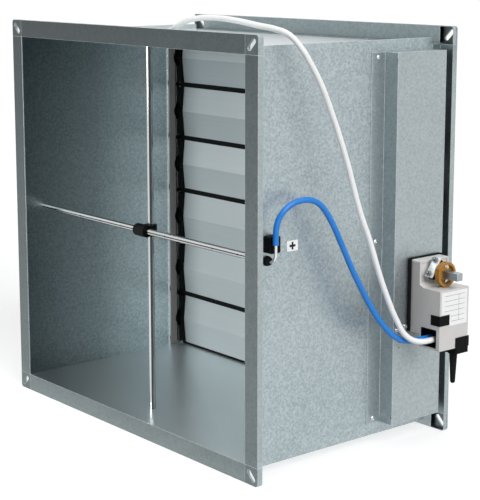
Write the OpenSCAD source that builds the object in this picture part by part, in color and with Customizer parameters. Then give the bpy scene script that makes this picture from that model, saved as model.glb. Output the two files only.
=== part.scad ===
// Rectangular airflow volume regulator: a galvanised duct section with a flange at each end,
// crossed pressure sensing tubes at the inlet, six opposed damper blades behind them, a gear
// train under a cover on the right side, and a controller that turns the fourth blade.
// Millimetres. X points to the controller side, Y along the airflow, Z up.
// The origin lies on the duct axis in the plane of the inlet flange.

/* [Duct] */
// Clear width inside the duct
duct_w = 600; // [400:10:800]
// Height that each blade closes
blade_pitch = 100; // [90:1:120]
// Length from flange face to flange face
duct_len = 408; // [380:1:600]
// Thickness of the casing sheet
sheet = 1; // [0.8:0.1:1.5]
// Height of the folds along the duct's long edges
fold_h = 10; // [6:1:14]

/* [Flanges] */
// Height of a flange over the duct's inner face
flange_h = 28.5; // [24:0.5:40]
// Depth of the flange rail at its outer edge
rail_depth = 9.6; // [8:0.1:14]
// Length of the leg that holds the duct wall
rail_leg = 27; // [20:1:32]
// Sheet thickness of rails and corner pieces
rail_t = 1; // [0.8:0.1:1.5]
// Outer radius of a corner piece
corner_r = 5; // [3:0.5:8]
// Length of the corner slots, end to end
slot_l = 22; // [14:1:24]
// Width of the corner slots
slot_w = 8; // [6:0.5:9]
// Reach of a corner piece's legs into the rails
corner_leg = 36; // [20:1:60]
// Thickness of a corner piece's leg
corner_leg_t = 2; // [1.5:0.1:3]

/* [Damper] */
// Distance from the blade axes to the outlet flange
outlet_run = 66; // [64:1:72]
// Blade thickness at its middle
blade_t = 13; // [10:0.5:16]
// Blade thickness at its edges
blade_edge_t = 5; // [4:0.5:6]
// Wall thickness of the hollow blade
blade_skin = 1.2; // [1:0.1:1.6]
// Height of the rubber bead on each blade edge
bead_h = 4.3; // [3:0.1:6]
// Width of the rubber bead
bead_w = 4.8; // [4:0.1:4.8]
// Gap between two closed beads
bead_gap = 0.3; // [0.3:0.1:1]
// Width of a bead's foot in its groove
foot_w = 2.4; // [1.6:0.1:2.8]
// Depth of a bead's foot in its groove
foot_d = 5; // [3:0.5:8]
// Thickness of a blade's end cap
cap_t = 12; // [8:0.5:14]
// Gap between an end cap and the duct wall
cap_gap = 3; // [2.8:0.1:5]
// Diameter of the hub on an end cap
hub_d = 22; // [21:0.5:28]
// Diameter of the journals that turn in the bushes
journal_d = 20; // [18:0.5:20.5]
// Side of the square shanks and of the drive spindle
square_w = 12; // [10:0.5:12]
// Outer diameter of a bush
bush_d = 27; // [25:0.5:30]
// Diameter of a bush's flange inside the duct
bush_flange_d = 34; // [32:0.5:38]
// Thickness of a bush's flange
bush_flange_t = 2; // [1.5:0.1:2.4]
// Width of the side seal channels on the walls
seal_channel_w = 21; // [16:1:22]
// Height of the side seal channels
seal_channel_h = 1.8; // [1.2:0.1:2]

/* [Gears] */
// Teeth on each gear
gear_teeth = 40; // [32:4:48]
// Width of the toothed rim
gear_w = 12; // [8:1:14]
// Length of a gear's hub
gear_hub_l = 18; // [15:1:20]
// Diameter of a gear's hub
gear_hub_d = 26; // [22:1:32]
// Thickness of a gear's web
gear_web_t = 4; // [3:0.5:6]
// Radial thickness of the rim below the teeth
gear_rim_t = 5; // [3:0.5:7]
// Play between two meshed flanks
backlash = 0.3; // [0.2:0.05:0.5]

/* [Gear cover] */
// Height of the cover's face over the duct wall
cover_depth = 28.6; // [27:0.2:40]
// Width of the cover's face
cover_w = 107; // [104:1:110]
// Distance from the blade axes to the cover's front edge
cover_front = 66.2; // [64:0.2:70]
// Shortening of the cover against the duct's clear height
cover_short = 15; // [10:1:30]
// Width of the riveted flange along the cover's front
cover_flange_w = 28; // [20:1:34]
// Depth of the stiffening fold along the cover's rear edge
cover_return = 9; // [6:1:9]
// Diameter of the rivet heads
rivet_d = 8; // [5:0.5:9]

/* [Controller] */
// Width of the controller along the duct
ctrl_w = 65; // [60:1:72]
// Height of the whole controller
ctrl_h = 136; // [128:1:150]
// Rise of the controller's top over the driven axis
ctrl_top = 21; // [21:1:30]
// Height of the low clamp deck over the gear cover
deck_x = 22.4; // [18:0.2:26]
// Height of the body's outer face over the gear cover
body_x = 65.4; // [58:0.2:76]
// Drop of the deck's lower edge below the controller's top
deck_h = 115; // [110:1:120]
// Drop of the body's upper edge below the controller's top
body_drop = 41; // [40:1:46]
// Thickness of the rubber base plate
base_t = 4.4; // [3:0.2:6]
// Margin of the base plate beside the housing
base_margin = 4; // [2:0.5:6]
// Corner radius of housing and base plate
ctrl_r = 3; // [1:0.5:4]
// Length of the cable boot
boot_l = 48; // [30:1:60]
// Diameter of the cable boot at its root
boot_d = 13; // [10:0.5:14]
// Diameter of the cable boot at its tip
boot_tip_d = 8; // [6:0.5:9]

/* [Spindle clamp] */
// Free end of the drive spindle, counted from the gear cover
spindle_out = 75.4; // [70:0.2:90]
// Angle at which the clamp plate faces, counted from downwind over the top
clamp_angle = 145; // [140:1:150]
// Thickness of the clamp plate
clamp_t = 3; // [2:0.5:4]
// Length of the clamp plate
clamp_l = 34; // [32:1:38]
// Width of the clamp plate along the spindle
clamp_w = 14; // [12:0.5:15]
// Diameter of the clamp's U-bolt
u_bolt_d = 5; // [4:0.5:5]
// Outer diameter of the position indicator ring
ring_d = 39; // [36:1:39]
// Wall of the position indicator ring
ring_t = 4; // [2:0.5:5]
// Width of the position indicator ring
ring_w = 8; // [5:0.5:9]

/* [Pressure tubes] */
// Outer diameter of the sensing tubes
tube_d = 10; // [8:0.5:10.5]
// Bore of the sensing tubes
tube_bore = 7; // [5:0.5:7.5]
// Distance of the level tube from the inlet flange
level_y = 40; // [38:1:44]
// Distance from the level tube back to the upright tube
tube_step = 12; // [11.5:0.5:14]
// Spacing of the sensing holes
sense_pitch = 60; // [40:5:90]
// Diameter of the sensing holes
sense_d = 3; // [2:0.5:4]
// Diameter of the grommets where the tubes pass the duct's walls
grommet_d = 15; // [15:0.5:20]
// Height of a grommet over the wall
grommet_h = 2.5; // [2:0.5:3]
// Outer diameter of the metal elbows
elbow_d = 5; // [4:0.5:6]
// Outer diameter of the pressure hoses
hose_d = 9; // [7:0.5:10]

/* [Hidden] */
$fn = 48;
blade_count = 6;
drive_blade = 4;
blade_numbers = [1 : blade_count];

// Running and seating clearances
run_gap = 0.05;
seat_gap = 0.1;
free_gap = 0.3;
cut_over = 1;

// Duct
duct_h = blade_pitch * blade_count;
half_w = duct_w / 2;
half_h = duct_h / 2;
out_x = half_w + sheet;
out_z = half_h + sheet;
fold_z = out_z + fold_h;
rail_in = rail_t + rail_leg;
wall_y0 = rail_t;
wall_y1 = duct_len - rail_t;
slot_mid = flange_h / 2;

// Damper
axis_y = duct_len - outlet_run;
drive_z = half_h - blade_pitch * (drive_blade - 0.5);
edge_z = blade_pitch / 2 - bead_gap / 2 - bead_h;
bead_r = 0.8;
cap_out = half_w - cap_gap;
blade_end = cap_out - cap_t;
bead_short = 1;
bead_end = cap_out - bead_short;
plug_l = 18;
plug_gap = 0.4;
hub_core_d = 16;
wing_lip = 1;
wing_t = blade_t + 2 * wing_lip;
wing_r = 2;
bush_over = 2;
bush_out = out_x + bush_over;
bush_cap_t = 2;
journal_over = 1;
journal_end = bush_out + journal_over;
spindle_in = 2;
channel_clear = 4;
channel_y1 = axis_y - blade_t / 2 - channel_clear;
channel_y0 = channel_y1 - seal_channel_w;
channel_t = 0.8;
channel_lip = 3.6;
strip_lip_gap = 0.3;
strip_h = 1.8;
pad_h = 6.4;
pad_gap = 0.4;
pad_over = 6;

// Gears
gear_module = blade_pitch / gear_teeth;
gear_pitch_r = blade_pitch / 2;
gear_tip_r = gear_pitch_r + gear_module;
tooth_foot_share = 1.25;
gear_root_r = gear_pitch_r - tooth_foot_share * gear_module;
pressure_angle = 20;
gear_base_r = gear_pitch_r * cos(pressure_angle);
gear_hub_x0 = journal_end + free_gap;
gear_hub_x1 = gear_hub_x0 + gear_hub_l;
gear_inset = 1.5;
gear_x0 = gear_hub_x0 + gear_inset;
shank_over = 1.5;
shank_end = gear_hub_x1 + shank_over;
gear_ribs = 6;
gear_rib_t = 3;
gear_rib_sink = 0.15;
flank_steps = 3;
// Teeth that an end gear keeps beyond its working arc, on odd and on even blades
sector_teeth_odd = 1.5;
sector_teeth_even = 2;
sector_steps = 4;
sector_ribs = 3;

// Gear cover
cover_x = out_x + cover_depth;
cover_y0 = axis_y - cover_front;
cover_y1 = cover_y0 + cover_w;
cover_half = (duct_h - cover_short) / 2;
rivet_y = cover_y0 - cover_flange_w / 2;
rivet_h = 1.6;
rivet_shank_d = 4;
rivet_end_gap = 8;
rivet_heights = [-(cover_half - rivet_end_gap), 0, cover_half - rivet_end_gap];
rivet_dome_r = (rivet_d * rivet_d / 4 + rivet_h * rivet_h) / (2 * rivet_h);
flank_hole_d = 3;
flank_hole_in = 3;
flank_hole_end = 12;
face_hole_d = 3;
screw_d = 7;
screw_h = 2.4;
screw_shank_d = 3.5;
screw_shank_l = 6;
screw_edge = 8;
cover_mid_hole_drop = 1.6;
spare_hole_drop = 110;
spare_hole_step = 8;
spare_hole_edge = 14;

// Controller, in heights over the gear cover and in drops from its own top
ctrl_mid_y = axis_y;
ctrl_y0 = ctrl_mid_y - ctrl_w / 2;
ctrl_y1 = ctrl_mid_y + ctrl_w / 2;
ctrl_z1 = drive_z + ctrl_top;
ctrl_z0 = ctrl_z1 - ctrl_h;
deck_z0 = ctrl_z1 - deck_h;
body_z1 = ctrl_z1 - body_drop;
base_x1 = cover_x + base_t;
deck_x1 = cover_x + deck_x;
body_x1 = cover_x + body_x;
step_chamfer = 8;
step_rise = 4;
deck_rim = 3.5;
deck_sink = 2;
body_back_over = 1;
body_back_x = deck_x1 + body_back_over;
spindle_hole_d = 26;
case_t = 2.4;
screw_places = [
    [cover_y0 + screw_edge, deck_z0 + screw_edge / 2],
    [ctrl_y0 - base_margin - screw_d / 2 - free_gap, deck_z0 + screw_edge]];
// Black clip round the front edge of the body
clip_h = 16;
clip_side_l = 18;
clip_face_l = 21.5;
clip_t = 1.6;
clip_proud = 0.6;
clip_lift = 7;
// Hose inlet in the front side of the body
inlet_h = 29;
inlet_w = 32;
inlet_d = 21;
inlet_t = 2;
inlet_back_t = 4;
inlet_low = 4;
inlet_edge = 6.5;
inlet_z0 = ctrl_z0 + inlet_low;
inlet_z1 = inlet_z0 + inlet_h;
inlet_x1 = body_x1 - inlet_edge;
inlet_x0 = inlet_x1 - inlet_w;
inlet_back_y = ctrl_y0 + inlet_d - inlet_back_t;
inlet_r = 3;
clip_z0 = inlet_z1 + clip_lift;
clip_z1 = clip_z0 + clip_h;
// Cable gland block and boot at the lower rear corner of the body
gland_w = 30;
gland_x_l = 27;
gland_rise = 16;
gland_drop = 10;
gland_proud = 1.6;
gland_x1 = body_x1 + gland_proud;
gland_x0 = gland_x1 - gland_x_l;
gland_y1 = ctrl_y1 + gland_proud;
gland_y0 = gland_y1 - gland_w;
gland_z0 = ctrl_z0 - gland_drop;
gland_z1 = ctrl_z0 + gland_rise;
boot_in_x = 3;
boot_in_y = 2;
boot_x = (gland_x0 + gland_x1) / 2 - boot_in_x;
boot_y = (gland_y0 + gland_y1) / 2 - boot_in_y;
boot_collar_over = 3;
boot_collar_d = boot_d + boot_collar_over;
boot_collar_h = 3;
// Bare plate where a printed label sits
label_t = 0.4;
label_edge = 3.5;
label_h = 54;
label_drop = 3;
label_gap = 1;
label_z1 = body_z1 - label_drop;
label_z0 = max(label_z1 - label_h, gland_z1 + label_gap);

// Spindle clamp and indicator
spindle_x1 = cover_x + spindle_out;
clamp_lift = 4;
clamp_x0 = deck_x1 + clamp_lift;
clamp_x1 = clamp_x0 + clamp_w;
clamp_mid_x = (clamp_x0 + clamp_x1) / 2;
clamp_out = 17;
clamp_block_w = 14;
u_bolt_clear = 1;
u_leg = square_w * sqrt(2) / 2 + u_bolt_d / 2 + u_bolt_clear;
u_leg_over = 7;
nut_w = 8;
nut_h = 4;
output_d = 24;
ring_gap = 1;
ring_x0 = clamp_x1 + ring_gap;
ring_hub_d = 21;
ring_spokes = 3;
ring_spoke_w = 4;
ring_spoke_t = 3;
pointer_w = 5;
pointer_l = 4;

// Pressure tubes
upright_y = level_y + tube_step;
groove_d = 0.6;
groove_open = 2.2;
blind_l = 5;
sense_count = 9;
sense_steps = [for (k = [-sense_count : sense_count]) if (k != 0) k];
cross_len = 27;
cross_left = 20;
cross_wall = 5;
cross_half_z = 9;
tube_out = 3.5;
grommet_skin = 1.25;
wall_hole_d = tube_d + 2 * grommet_skin;
grommet_in = 1.5;
elbow_insert = 4;
side_bend_r = 13;
top_bend_r = 7;
elbow_rise = 26;
holder_w = 20;
holder_h = 25;
holder_t = 14.5;
holder_foot_t = 3;
holder_r = 3;
holder_rise = 12.5;
holder_y0 = 34;
holder_ribs = 3;
holder_rib_t = 1.5;
holder_rib_step = 3;

// Hose routes: shares of the way out from the wall to the hose inlet, of the way back from the
// level tube to the inlet's floor, and of the rise from the inlet to where the hose begins
inlet_mid_x = (inlet_x0 + inlet_x1) / 2;
inlet_mid_z = (inlet_z0 + inlet_z1) / 2;
hose_sides = 10;
blue_shares = [
    [0.28, 0, 1], [0.28, 0, 1.058], [0.294, 0, 1.139], [0.308, 0.014, 1.22],
    [0.35, 0.042, 1.29], [0.378, 0.084, 1.336], [0.406, 0.14, 1.359], [0.448, 0.199, 1.354],
    [0.476, 0.251, 1.313], [0.503, 0.286, 1.249], [0.531, 0.328, 1.139], [0.573, 0.391, 0.93],
    [0.615, 0.457, 0.704], [0.657, 0.517, 0.519], [0.713, 0.586, 0.322], [0.769, 0.66, 0.159],
    [0.811, 0.733, 0.049], [0.853, 0.803, -0.003], [0.881, 0.873, -0.014], [0.895, 0.935, -0.014],
    [0.895, 1, -0.014]];
white_side_shares = [
    [0.098, 0.122, 1.054], [0.322, 0.147, 1.018], [0.42, 0.192, 0.966], [0.49, 0.251, 0.895],
    [0.545, 0.314, 0.799], [0.587, 0.366, 0.712], [0.629, 0.408, 0.631], [0.657, 0.443, 0.555],
    [0.699, 0.489, 0.461], [0.755, 0.541, 0.372], [0.797, 0.593, 0.272], [0.853, 0.656, 0.166],
    [0.909, 0.712, 0.086], [0.965, 0.768, 0.028], [1.021, 0.831, 0.001], [1.063, 0.89, -0.006],
    [1.077, 0.935, -0.006], [1.077, 1, -0.006]];
// Over the duct's top the first share is of the way from the duct's middle to the wall
white_top_shares = [
    [0.066, 0.042, 1.038], [0.1, 0.042, 1.038], [0.153, 0.042, 1.042], [0.233, 0.042, 1.06],
    [0.316, 0.045, 1.083], [0.425, 0.056, 1.096], [0.548, 0.07, 1.098], [0.681, 0.08, 1.092],
    [0.824, 0.094, 1.08], [0.95, 0.108, 1.069]];
function hose_point(share, x0, x1, z0) = [
    x0 + share[0] * (x1 - x0),
    level_y + share[1] * (inlet_back_y - level_y),
    inlet_mid_z + share[2] * (z0 - inlet_mid_z)];
blue_route = [for (share = blue_shares) hose_point(share, out_x, inlet_mid_x, elbow_rise)];
white_route = concat(
    [for (share = white_top_shares) hose_point(share, 0, out_x, out_z)],
    [for (share = white_side_shares) hose_point(share, out_x, inlet_mid_x, out_z)]);

function blade_z(n) = half_h - blade_pitch * (n - 0.5);

// Plain box between two corners
module slab(x0, x1, y0, y1, z0, z1) {
    translate([x0, y0, z0])
        cube([x1 - x0, y1 - y0, z1 - z0]);
}

// Outline in Y and Z, carried along X
module along_x(x0, x1) {
    translate([x0, 0, 0])
        rotate([90, 0, 90])
            linear_extrude(x1 - x0)
                children();
}

// Outline in X and Z, carried along Y
module along_y(y0, y1) {
    translate([0, y1, 0])
        rotate([90, 0, 0])
            linear_extrude(y1 - y0)
                children();
}

// Outline in X and Y, carried along Z
module along_z(z0, z1) {
    translate([0, 0, z0])
        linear_extrude(z1 - z0)
            children();
}

module round_x(d, x0, x1, y = 0, z = 0) {
    translate([x0, y, z])
        rotate([0, 90, 0])
            cylinder(d = d, h = x1 - x0);
}

module round_y(d, y0, y1, x = 0, z = 0) {
    translate([x, y0, z])
        rotate([-90, 0, 0])
            cylinder(d = d, h = y1 - y0);
}

module round_z(d, z0, z1, x = 0, y = 0) {
    translate([x, y, z0])
        cylinder(d = d, h = z1 - z0);
}

// Rectangle with round corners, from its low corner
module soft_rect(w, h, r) {
    translate([r, 0])
        square([w - 2 * r, h]);
    translate([0, r])
        square([w, h - 2 * r]);
    for (x = [r, w - r], y = [r, h - r])
        translate([x, y])
            circle(r);
}

// A front part seen again at the outlet end
module at_outlet() {
    translate([0, duct_len, 0])
        mirror([0, 1, 0])
            children();
}

// The same part at each of the four sides of the flange, drawn at the top
module on_four_sides() {
    children(0);
    mirror([0, 0, 1])
        children(0);
    children(1);
    mirror([1, 0, 0])
        children(1);
}

module in_four_corners() {
    for (mx = [0, 1], mz = [0, 1])
        mirror([mx, 0, 0])
            mirror([0, 0, mz])
                children();
}

// Side wall with its two long folds, the bush holes and the hole of the level tube
module side_wall(with_tube_hole) {
    difference() {
        union() {
            slab(half_w, out_x, wall_y0, wall_y1, -out_z, out_z);
            slab(half_w, out_x, rail_in + free_gap, duct_len - rail_in - free_gap, -fold_z, fold_z);
        }
        for (n = blade_numbers)
            round_x(bush_d, half_w - cut_over, out_x + cut_over, axis_y, blade_z(n));
        if (with_tube_hole)
            round_x(wall_hole_d, half_w - cut_over, out_x + cut_over, level_y, 0);
    }
}

module left_wall() {
    color("#8f9a9c")
        mirror([1, 0, 0])
            side_wall(false);
}

module right_wall() {
    color("#8f9a9c")
        side_wall(true);
}

// Top or bottom sheet with an upstand along each side
module level_wall(with_tube_hole) {
    difference() {
        union() {
            slab(-half_w, half_w, wall_y0, wall_y1, half_h, out_z);
            for (m = [0, 1])
                mirror([m, 0, 0])
                    slab(half_w - sheet, half_w, rail_in + free_gap, duct_len - rail_in - free_gap,
                        half_h, fold_z);
        }
        if (with_tube_hole)
            round_z(wall_hole_d, half_h - cut_over, out_z + cut_over, 0, upright_y);
    }
}

module top_wall() {
    color("#a3adaf")
        level_wall(true);
}

module floor_wall() {
    color("#a3adaf")
        mirror([0, 0, 1])
            level_wall(false);
}

// Section of a flange rail, in the depth of the duct and the height over its inner face
module rail_section(inner, skin) {
    outer = inner + flange_h;
    difference() {
        union() {
            translate([0, inner])
                square([rail_t, flange_h]);
            translate([0, inner + skin])
                square([rail_depth, flange_h - skin]);
            translate([0, inner + skin])
                square([rail_in, rail_t]);
        }
        translate([rail_t, inner + skin + rail_t])
            square([rail_depth - 2 * rail_t, flange_h - skin - 2 * rail_t]);
    }
}

module rails() {
    on_four_sides() {
        along_x(-half_w, half_w)
            rail_section(half_h, sheet);
        rotate([0, 90, 0])
            along_x(-half_h, half_h)
                rail_section(half_w, sheet);
    }
}

module front_rails() {
    color("#7d8587")
        rails();
}

module rear_rails() {
    color("#7d8587")
        at_outlet()
            rails();
}

// Corner outline in X and Z, in by a margin
module corner_outline(margin) {
    size = flange_h - margin;
    r = corner_r - margin;
    square([size - r, size]);
    square([size, size - r]);
    translate([size - r, size - r])
        circle(r);
}

// Slotted hole on the diagonal, centred in the corner
module corner_slot() {
    translate([slot_mid, slot_mid])
        rotate(45) {
            square([slot_l - slot_w, slot_w], center = true);
            for (s = [-1, 1])
                translate([s * (slot_l - slot_w) / 2, 0])
                    circle(d = slot_w);
        }
}

// Pressed corner: face plate, rim round the outside and two legs inside the rails
module corner_piece() {
    inset = sheet + rail_t;
    leg_w = flange_h - inset - rail_t - free_gap;
    difference() {
        translate([half_w, 0, half_h])
            union() {
                along_y(0, rail_t)
                    corner_outline(0);
                along_y(0, rail_depth)
                    difference() {
                        corner_outline(0);
                        translate([-cut_over, -cut_over])
                            square([cut_over, flange_h + 2 * cut_over]);
                        corner_outline(rail_t);
                    }
                slab(-corner_leg, leg_w + inset, rail_t, rail_t + corner_leg_t, inset, inset + leg_w);
                slab(inset, inset + leg_w, rail_t, rail_t + corner_leg_t, -corner_leg, leg_w + inset);
            }
        translate([half_w, 0, half_h])
            along_y(-cut_over, rail_depth + cut_over)
                corner_slot();
    }
}

module front_corners() {
    color("#737b7d")
        in_four_corners()
            corner_piece();
}

module rear_corners() {
    color("#737b7d")
        at_outlet()
            in_four_corners()
                corner_piece();
}

// Bush in the wall with its flange inside the duct, closed by a cap on the left wall
module bush(closed) {
    difference() {
        union() {
            round_x(bush_flange_d, half_w - bush_flange_t, half_w);
            round_x(bush_d - 2 * run_gap, half_w, bush_out);
            if (closed)
                round_x(bush_d - 2 * run_gap, bush_out, bush_out + bush_cap_t);
        }
        round_x(journal_d + 2 * run_gap, half_w - bush_flange_t - cut_over,
            bush_out + (closed ? 0 : cut_over));
    }
}

module blade_bushes() {
    color("#202224")
        for (n = blade_numbers)
            translate([0, axis_y, blade_z(n)]) {
                bush(false);
                mirror([1, 0, 0])
                    bush(true);
            }
}

// On both walls, with round notches for the flanges of the bushes
module beside_bushes() {
    for (m = [0, 1])
        mirror([m, 0, 0])
            difference() {
                children();
                for (n = blade_numbers)
                    round_x(bush_flange_d + 2 * free_gap, cap_out - cut_over, half_w + cut_over,
                        axis_y, blade_z(n));
            }
}

// Upright channel on each wall, just before the blades
module side_seal_channels() {
    lip_x = half_w - seal_channel_h;
    color("#b4bcbe")
        beside_bushes()
            union() {
                slab(half_w - channel_t, half_w, channel_y0, channel_y1, -half_h, half_h);
                slab(lip_x, half_w, channel_y0, channel_y0 + channel_lip, -half_h, half_h);
                slab(lip_x, half_w, channel_y1 - channel_lip, channel_y1, -half_h, half_h);
            }
}

// Rubber strip in each channel
module side_seals() {
    strip_in = channel_lip + strip_lip_gap;
    color("#141516")
        beside_bushes()
            slab(half_w - channel_t - strip_h, half_w - channel_t, channel_y0 + strip_in,
                channel_y1 - strip_in, -half_h, half_h);
}

// Rubber pads on both walls, where the beads of two neighbouring blades end
module seam_pads() {
    pad_x = bead_end + pad_gap;
    lip_x = half_w - seal_channel_h;
    color("#141516")
        for (m = [0, 1], n = [1 : blade_count - 1])
            mirror([m, 0, 0])
                translate([0, 0, blade_z(n) - blade_pitch / 2])
                    union() {
                        slab(pad_x, lip_x, channel_y1 - channel_lip, axis_y + pad_over,
                            -pad_h / 2, pad_h / 2);
                        slab(pad_x, half_w, channel_y1 + free_gap, axis_y + pad_over,
                            -pad_h / 2, pad_h / 2);
                    }
}

// Half thickness of the blade at a height over its axis
function blade_half(z) = blade_t / 2 + (blade_edge_t - blade_t) / 2 * abs(z) / edge_z;

module blade_outline() {
    polygon([[-blade_edge_t / 2, -edge_z], [-blade_t / 2, 0], [-blade_edge_t / 2, edge_z],
        [blade_edge_t / 2, edge_z], [blade_t / 2, 0], [blade_edge_t / 2, -edge_z]]);
}

// Hollow above the blade's middle web, up to the floor of the bead's groove
module blade_hollow() {
    z0 = hub_core_d / 2 + blade_skin;
    z1 = edge_z - foot_d - blade_skin;
    h0 = blade_half(z0) - blade_skin;
    h1 = blade_half(z1) - blade_skin;
    polygon([[-h0, z0], [-h1, z1], [h1, z1], [h0, z0]]);
}

// Hollow in the blade's middle, which takes the plug of the end cap
module blade_core() {
    z0 = hub_core_d / 2;
    h0 = blade_half(z0) - blade_skin;
    h1 = blade_t / 2 - blade_skin;
    polygon([[-h0, -z0], [-h1, 0], [-h0, z0], [h0, z0], [h1, 0], [h0, -z0]]);
}

module blade(n) {
    color("#9fb0b8")
        translate([0, axis_y, blade_z(n)])
            along_x(-blade_end, blade_end)
                difference() {
                    blade_outline();
                    blade_core();
                    for (m = [0, 1])
                        mirror([0, m]) {
                            blade_hollow();
                            translate([-foot_w / 2, edge_z - foot_d])
                                square([foot_w, foot_d + cut_over]);
                        }
                }
}

// Rubber bead on each edge of the blade, with a foot in the blade's groove. The bead runs on
// over the end caps, where it has no foot.
module edge_seals(n) {
    color("#17181a")
        translate([0, axis_y, blade_z(n)])
            for (m = [0, 1])
                mirror([0, 0, m]) {
                    along_x(-bead_end, bead_end)
                        translate([-bead_w / 2, edge_z])
                            soft_rect(bead_w, bead_h, bead_r);
                    along_x(-blade_end, blade_end)
                        translate([-foot_w / 2, edge_z - foot_d])
                            square([foot_w, foot_d + bead_h / 2]);
                }
}

// Outline of an end cap: a round hub on a plate as high as the blade
module cap_outline() {
    circle(d = hub_d);
    translate([-wing_t / 2, -edge_z])
        soft_rect(wing_t, 2 * edge_z, wing_r);
}

// Plug of an end cap inside the blade's middle hollow
module cap_plug() {
    z0 = hub_core_d / 2 - plug_gap;
    h0 = blade_half(hub_core_d / 2) - blade_skin - plug_gap;
    h1 = blade_t / 2 - blade_skin - plug_gap;
    polygon([[-h0, -z0], [-h1, 0], [-h0, z0], [h0, z0], [h1, 0], [h0, -z0]]);
}

module end_cap(journal_x1) {
    along_x(blade_end, cap_out)
        cap_outline();
    along_x(blade_end - plug_l, blade_end)
        cap_plug();
    round_x(journal_d, cap_out, journal_x1);
}

// Both caps of a blade. The right one ends in a square shank that carries the gear,
// and on the driven blade it has a square socket for the spindle instead.
module end_caps(n) {
    driven = n == drive_blade;
    color("#232527")
        translate([0, axis_y, blade_z(n)]) {
            mirror([1, 0, 0])
                end_cap(bush_out - free_gap);
            difference() {
                union() {
                    end_cap(journal_end);
                    if (!driven)
                        slab(journal_end, shank_end, -square_w / 2, square_w / 2,
                            -square_w / 2, square_w / 2);
                }
                if (driven)
                    slab(blade_end + spindle_in, journal_end + cut_over, -square_w / 2, square_w / 2,
                        -square_w / 2, square_w / 2);
            }
        }
}

// Angle at which an involute from the base circle reaches a radius, in degrees
function involute_roll(r) = sqrt(pow(r / gear_base_r, 2) - 1) * 180 / PI;
function involute_turn(r) = involute_roll(r) - atan(involute_roll(r) * PI / 180);

// Half angle of a tooth at a radius
function tooth_half(r) =
    90 / gear_teeth - backlash / 2 / gear_pitch_r * 180 / PI / 2
    + involute_turn(gear_pitch_r) - involute_turn(max(r, gear_base_r));

function tooth_points(turn) = let(
    radii = [for (i = [0 : flank_steps])
        gear_base_r + (gear_tip_r - gear_base_r) * i / flank_steps],
    rise = [for (r = radii) [r, turn - tooth_half(r)]],
    fall = [for (i = [flank_steps : -1 : 0]) [radii[i], turn + tooth_half(radii[i])]],
    foot = [[gear_root_r, turn - tooth_half(gear_base_r)]],
    back = [[gear_root_r, turn + tooth_half(gear_base_r)]]
) concat(foot, rise, fall, back);

// Outer line of the gear; a gear whose neighbour has a tooth on the centre line has a gap there
module gear_outline(half_step) {
    pitch_angle = 360 / gear_teeth;
    first = half_step ? pitch_angle / 2 : 0;
    polygon([for (t = [0 : gear_teeth - 1], p = tooth_points(90 + first + t * pitch_angle))
        [p[0] * cos(p[1]), p[0] * sin(p[1])]]);
}

// The end gears mesh on one side only, so they are sectors that clear the cover's ends:
// the arc between these two angles passes the neighbour while the blade opens
function is_sector(n) = n == 1 || n == blade_count;
function sector_margin(n) = 360 / gear_teeth * (n % 2 == 0 ? sector_teeth_even : sector_teeth_odd);
function sector_from(n) = (n == 1 ? 180 : 90) - sector_margin(n);
function sector_to(n) = (n == 1 ? 270 : 180) + sector_margin(n);

// Whole plane, or the slice of it that a sector gear fills
module gear_field(n) {
    reach = 2 * gear_tip_r;
    step = (sector_to(n) - sector_from(n)) / sector_steps;
    if (is_sector(n))
        polygon(concat([[0, 0]], [for (a = [sector_from(n) : step : sector_to(n) + step / 2])
            reach * [cos(a), sin(a)]]));
    else
        square(2 * reach, center = true);
}

// Directions of the ribs in the gear's web
function rib_turns(n) = is_sector(n)
    ? [for (k = [0 : sector_ribs - 1])
        sector_from(n) + k * (sector_to(n) - sector_from(n)) / (sector_ribs - 1) - 90]
    : [for (k = [0 : gear_ribs - 1]) k * 360 / gear_ribs];

// Moulded gear: toothed rim, thin web with ribs, and a hub with a square bore
module gear(n) {
    rim_in = gear_root_r - gear_rim_t;
    web_x0 = gear_x0 + (gear_w - gear_web_t) / 2;
    bore = square_w + 2 * seat_gap;
    color("#2b2d30")
        translate([0, axis_y, blade_z(n)])
            difference() {
                union() {
                    along_x(gear_x0, gear_x0 + gear_w)
                        intersection() {
                            difference() {
                                gear_outline(n % 2 == 0);
                                circle(rim_in);
                            }
                            gear_field(n);
                        }
                    along_x(web_x0, web_x0 + gear_web_t)
                        intersection() {
                            circle(rim_in + seat_gap);
                            gear_field(n);
                        }
                    round_x(gear_hub_d, gear_hub_x0, gear_hub_x1);
                    for (a = rib_turns(n))
                        rotate([a, 0, 0])
                            slab(gear_x0 + gear_rib_sink, gear_x0 + gear_w - gear_rib_sink,
                                -gear_rib_t / 2, gear_rib_t / 2,
                                gear_hub_d / 2 - seat_gap, rim_in + seat_gap);
                }
                slab(gear_hub_x0 - cut_over, gear_hub_x1 + cut_over, -bore / 2, bore / 2,
                    -bore / 2, bore / 2);
            }
}

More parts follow.
